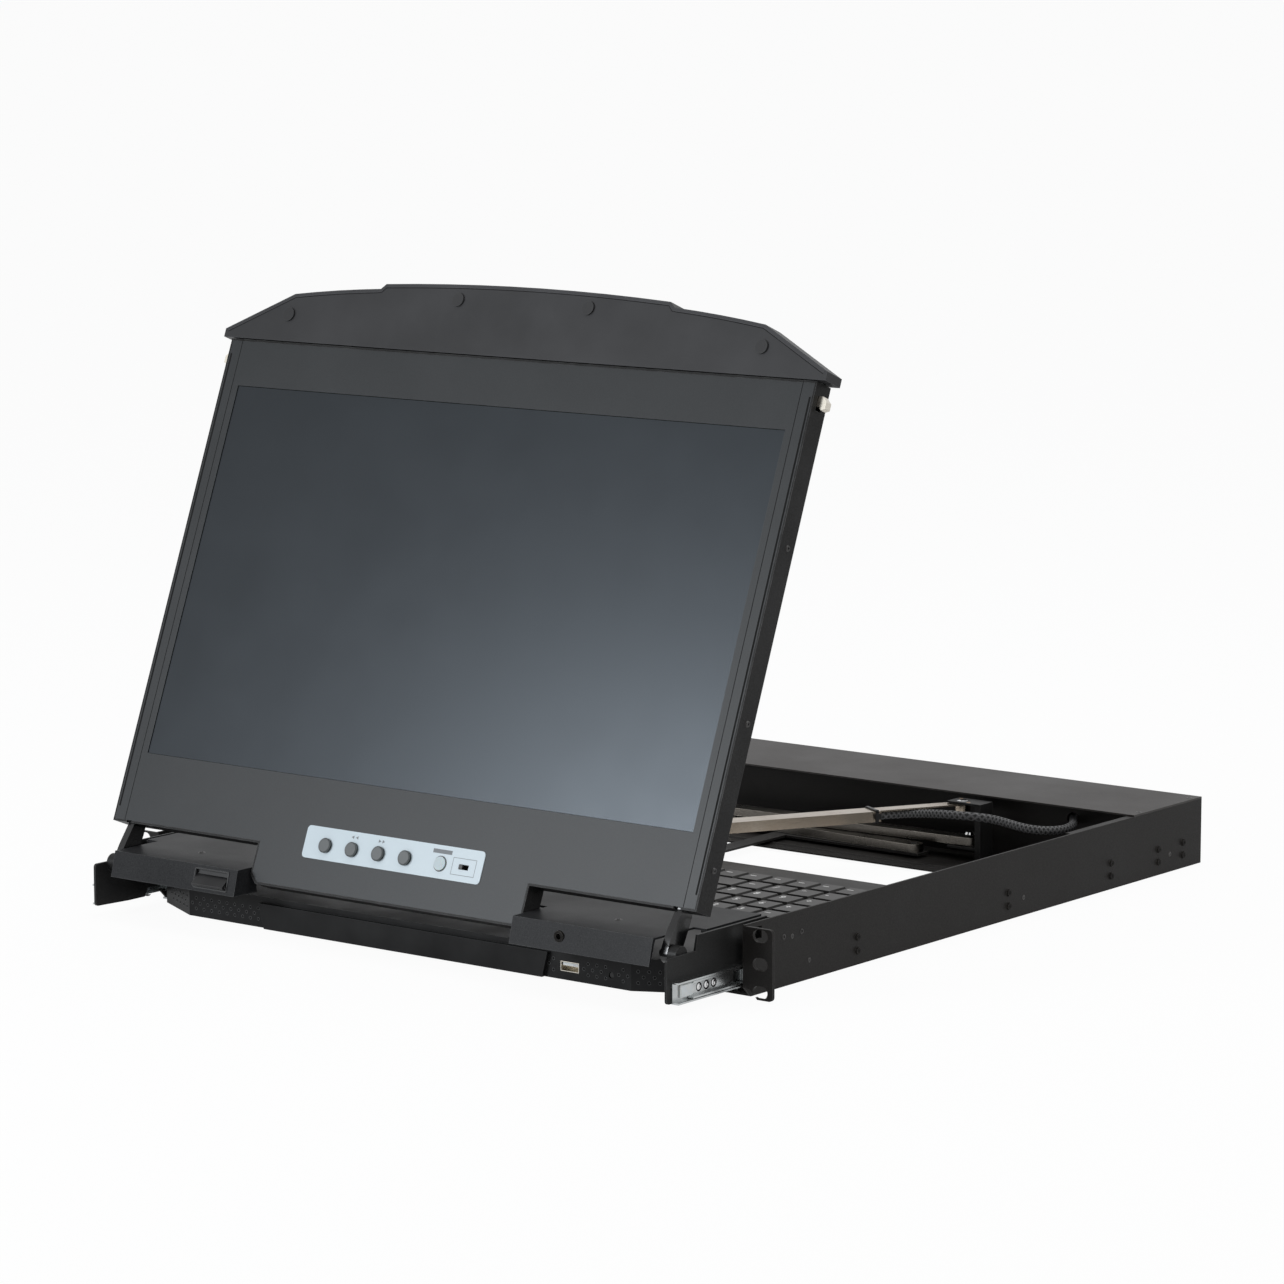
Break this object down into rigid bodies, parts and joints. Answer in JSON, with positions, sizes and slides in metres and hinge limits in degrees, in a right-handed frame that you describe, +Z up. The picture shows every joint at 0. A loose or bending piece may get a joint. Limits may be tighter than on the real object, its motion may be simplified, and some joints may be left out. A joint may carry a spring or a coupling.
{
  "type": "rackmount console drawer",
  "caption": "Rack drawer with a folding flat screen on sliding rails, a separate sliding keyboard tray with touchpad, and folding cable arms.",
  "frame": {"origin": "centre of the mounting slot pattern in the front faces of the two rack ears", "axes": "+X to the right seen from the front, +Y back into the rack, +Z up"},
  "size_m": [0.482, 0.5497, 0.3772],
  "materials": {
    "chassis_paint": "fine textured powder coat",
    "carriage_paint": "fine textured powder coat",
    "tray_paint": "fine textured powder coat",
    "rail_steel": "zinc plated",
    "arm_nickel": "bright nickel plated",
    "bracket_steel": "zinc plated",
    "screen_paint": "satin",
    "display": "semi-gloss, powered off",
    "hood_plastic": "fine texture",
    "bar_plastic": "fine texture",
    "bumper_rubber": "matt",
    "screw_steel": "blackened",
    "label_film": "printed film, blank",
    "button_plastic": "satin",
    "power_plastic": "satin",
    "switch_plastic": "satin",
    "hinge_gloss": "high gloss",
    "latch_plastic": "satin",
    "key_plastic": "fine texture",
    "deck_plastic": "fine texture",
    "bezel_plastic": "fine texture",
    "socket_metal": "nickel plated",
    "touchpad_plastic": "smooth",
    "board_laminate": "solder mask",
    "inlet_plastic": "satin",
    "rocker_plastic": "satin",
    "sleeve_braid": "braided"
  },
  "bodies": {
    "chassis": {"side_wall_left": "chassis_paint", "side_wall_right": "chassis_paint", "rear_floor": "chassis_paint", "rear_panel": "chassis_paint", "rear_cover": "chassis_paint", "screen_rail_outer": "rail_steel", "keyboard_rail_outer": "rail_steel", "arm_anchor": "bracket_steel", "main_board": "board_laminate", "inlet_socket": "inlet_plastic", "port_block": "socket_metal", "chassis_screws": "screw_steel", "cable_sleeve_loop": "sleeve_braid"},
    "power_rocker": {"rocker_switch": "rocker_plastic"},
    "screen_slide_middle": {"screen_rail_middle": "rail_steel"},
    "keyboard_slide_middle": {"keyboard_rail_middle": "rail_steel"},
    "carriage": {"carriage_side_left": "carriage_paint", "carriage_side_right": "carriage_paint", "carriage_deck": "carriage_paint", "screen_rail_inner": "rail_steel", "carriage_arm_bracket": "bracket_steel", "wing_screw": "screw_steel"},
    "latch": {"latch_tab": "latch_plastic"},
    "screen": {"screen_back_cover": "screen_paint", "screen_bezel": "screen_paint", "display_panel": "display", "control_label": "label_film", "hinge_arms": "hinge_gloss", "hood": "hood_plastic", "hood_bumpers": "bumper_rubber", "screen_screws": "screw_steel"},
    "button_1": {"control_button_1": "button_plastic"},
    "button_2": {"control_button_2": "button_plastic"},
    "button_3": {"control_button_3": "button_plastic"},
    "button_4": {"control_button_4": "button_plastic"},
    "button_power": {"power_button": "power_plastic"},
    "switch_knob": {"mode_switch": "switch_plastic"},
    "bar": {"release_bar": "bar_plastic"},
    "hook_l": {"hook_left": "screw_steel"},
    "hook_r": {"hook_right": "screw_steel"},
    "keyboard": {"keyboard_tray": "tray_paint", "keyboard_deck": "deck_plastic", "front_bezel": "bezel_plastic", "usb_port": "socket_metal", "touchpad": "touchpad_plastic", "keyboard_rail_inner": "rail_steel"},
    "keys_1": {"key_row_1": "key_plastic"},
    "keys_2": {"key_row_2": "key_plastic"},
    "keys_3": {"key_row_3": "key_plastic"},
    "keys_4": {"key_row_4": "key_plastic"},
    "keys_5": {"key_row_5": "key_plastic"},
    "keys_6": {"key_row_6": "key_plastic"},
    "pad_left": {"touchpad_button_left": "touchpad_plastic"},
    "pad_right": {"touchpad_button_right": "touchpad_plastic"},
    "reset": {"reset_button": "rocker_plastic"},
    "upper_link_rear": {"upper_arm_rear": "arm_nickel", "cable_sleeve_arm": "sleeve_braid"},
    "upper_link_front": {"upper_arm_front": "arm_nickel"},
    "lower_link_rear": {"lower_arm_rear": "arm_nickel"},
    "lower_link_front": {"lower_arm_front": "arm_nickel"}
  },
  "joints": [
    {"name": "screen_slide", "type": "slide", "parent": "chassis", "child": "carriage", "axis": [0, -1, 0], "range_m": [-0.372, 0]},
    {"name": "screen_slide_half", "type": "slide", "parent": "chassis", "child": "screen_slide_middle", "axis": [0, -1, 0], "range_m": [-0.186, 0]},
    {"name": "screen_tilt", "type": "hinge", "parent": "carriage", "child": "screen", "pos_m": [0, -0.047, 0.0105], "axis": [-1, 0, 0], "range_deg": [-111.45, 3.5]},
    {"name": "latch_press", "type": "hinge", "parent": "carriage", "child": "latch", "pos_m": [-0.123, -0.0556, 0.0163], "axis": [1, 0, 0], "range_deg": [0, 8], "stiffness_Nm_per_rad": 0.5, "springref_deg": -5.73},
    {"name": "keyboard_slide", "type": "slide", "parent": "chassis", "child": "keyboard", "axis": [0, -1, 0], "range_m": [0, 0.29]},
    {"name": "keyboard_slide_half", "type": "slide", "parent": "chassis", "child": "keyboard_slide_middle", "axis": [0, -1, 0], "range_m": [0, 0.145]},
    {"name": "upper_link_rear_turn", "type": "hinge", "parent": "chassis", "child": "upper_link_rear", "pos_m": [0.102, 0.393, 0.0143], "axis": [0, 0, 1], "range_deg": [-58.05, 0.1]},
    {"name": "upper_link_front_turn", "type": "hinge", "parent": "carriage", "child": "upper_link_front", "pos_m": [0.102, 0.005, 0.0068], "axis": [0, 0, 1], "range_deg": [-0.1, 58.05]},
    {"name": "lower_link_rear_turn", "type": "hinge", "parent": "chassis", "child": "lower_link_rear", "pos_m": [0.106, 0.396, -0.0064], "axis": [0, 0, 1], "range_deg": [-0.1, 51.21]},
    {"name": "lower_link_front_turn", "type": "hinge", "parent": "keyboard", "child": "lower_link_front", "pos_m": [0.074, 0.38, -0.012], "axis": [0, 0, 1], "range_deg": [-56.06, 0.1]},
    {"name": "power_rocker_tip", "type": "hinge", "parent": "chassis", "child": "power_rocker", "pos_m": [0.116, 0.481, -0.0005], "axis": [1, 0, 0], "range_deg": [0, 10]},
    {"name": "button_1_press", "type": "slide", "parent": "screen", "child": "button_1", "axis": [0, 0.9307, -0.3657], "range_m": [0, 0.0008], "stiffness_N_per_m": 300, "springref_m": -0.001},
    {"name": "button_2_press", "type": "slide", "parent": "screen", "child": "button_2", "axis": [0, 0.9307, -0.3657], "range_m": [0, 0.0008], "stiffness_N_per_m": 300, "springref_m": -0.001},
    {"name": "button_3_press", "type": "slide", "parent": "screen", "child": "button_3", "axis": [0, 0.9307, -0.3657], "range_m": [0, 0.0008], "stiffness_N_per_m": 300, "springref_m": -0.001},
    {"name": "button_4_press", "type": "slide", "parent": "screen", "child": "button_4", "axis": [0, 0.9307, -0.3657], "range_m": [0, 0.0008], "stiffness_N_per_m": 300, "springref_m": -0.001},
    {"name": "button_power_press", "type": "slide", "parent": "screen", "child": "button_power", "axis": [0, 0.9307, -0.3657], "range_m": [0, 0.0008], "stiffness_N_per_m": 300, "springref_m": -0.001},
    {"name": "switch_knob_slide", "type": "slide", "parent": "screen", "child": "switch_knob", "axis": [1, 0, 0], "range_m": [0, 0.0038]},
    {"name": "release_bar_press", "type": "slide", "parent": "screen", "child": "bar", "axis": [0, -0.3657, -0.9307], "range_m": [0, 0.003], "stiffness_N_per_m": 400, "springref_m": -0.002},
    {"name": "hook_right_draw", "type": "slide", "parent": "screen", "child": "hook_r", "axis": [-1, 0, 0], "range_m": [0, 0.00501]},
    {"name": "hook_left_draw", "type": "slide", "parent": "screen", "child": "hook_l", "axis": [1, 0, 0], "range_m": [0, 0.00501]},
    {"name": "keys_1_press", "type": "slide", "parent": "keyboard", "child": "keys_1", "axis": [0, 0, -1], "range_m": [0, 0.002], "stiffness_N_per_m": 400, "springref_m": -0.002},
    {"name": "keys_2_press", "type": "slide", "parent": "keyboard", "child": "keys_2", "axis": [0, 0, -1], "range_m": [0, 0.002], "stiffness_N_per_m": 400, "springref_m": -0.002},
    {"name": "keys_3_press", "type": "slide", "parent": "keyboard", "child": "keys_3", "axis": [0, 0, -1], "range_m": [0, 0.002], "stiffness_N_per_m": 400, "springref_m": -0.002},
    {"name": "keys_4_press", "type": "slide", "parent": "keyboard", "child": "keys_4", "axis": [0, 0, -1], "range_m": [0, 0.002], "stiffness_N_per_m": 400, "springref_m": -0.002},
    {"name": "keys_5_press", "type": "slide", "parent": "keyboard", "child": "keys_5", "axis": [0, 0, -1], "range_m": [0, 0.002], "stiffness_N_per_m": 400, "springref_m": -0.002},
    {"name": "keys_6_press", "type": "slide", "parent": "keyboard", "child": "keys_6", "axis": [0, 0, -1], "range_m": [0, 0.002], "stiffness_N_per_m": 400, "springref_m": -0.002},
    {"name": "pad_left_press", "type": "slide", "parent": "keyboard", "child": "pad_left", "axis": [0, 0, -1], "range_m": [0, 0.0007], "stiffness_N_per_m": 300, "springref_m": -0.001},
    {"name": "pad_right_press", "type": "slide", "parent": "keyboard", "child": "pad_right", "axis": [0, 0, -1], "range_m": [0, 0.0007], "stiffness_N_per_m": 300, "springref_m": -0.001},
    {"name": "reset_press", "type": "slide", "parent": "keyboard", "child": "reset", "axis": [0, 1, 0], "range_m": [0, 0.0005], "stiffness_N_per_m": 200, "springref_m": -0.0005}
  ],
  "couplings": [
    {"joint": "screen_slide_half", "follows": "screen_slide", "ratio": 0.5},
    {"joint": "keyboard_slide_half", "follows": "keyboard_slide", "ratio": 0.5},
    {"joint": "upper_link_rear_turn", "follows": "screen_slide", "rad_per_m": 2.7191},
    {"joint": "upper_link_front_turn", "follows": "screen_slide", "rad_per_m": -2.7191},
    {"joint": "lower_link_rear_turn", "follows": "keyboard_slide", "rad_per_m": 3.0761},
    {"joint": "lower_link_front_turn", "follows": "keyboard_slide", "rad_per_m": -3.3681},
    {"joint": "hook_right_draw", "follows": "release_bar_press", "ratio": 1.6667},
    {"joint": "hook_left_draw", "follows": "release_bar_press", "ratio": 1.6667}
  ]
}
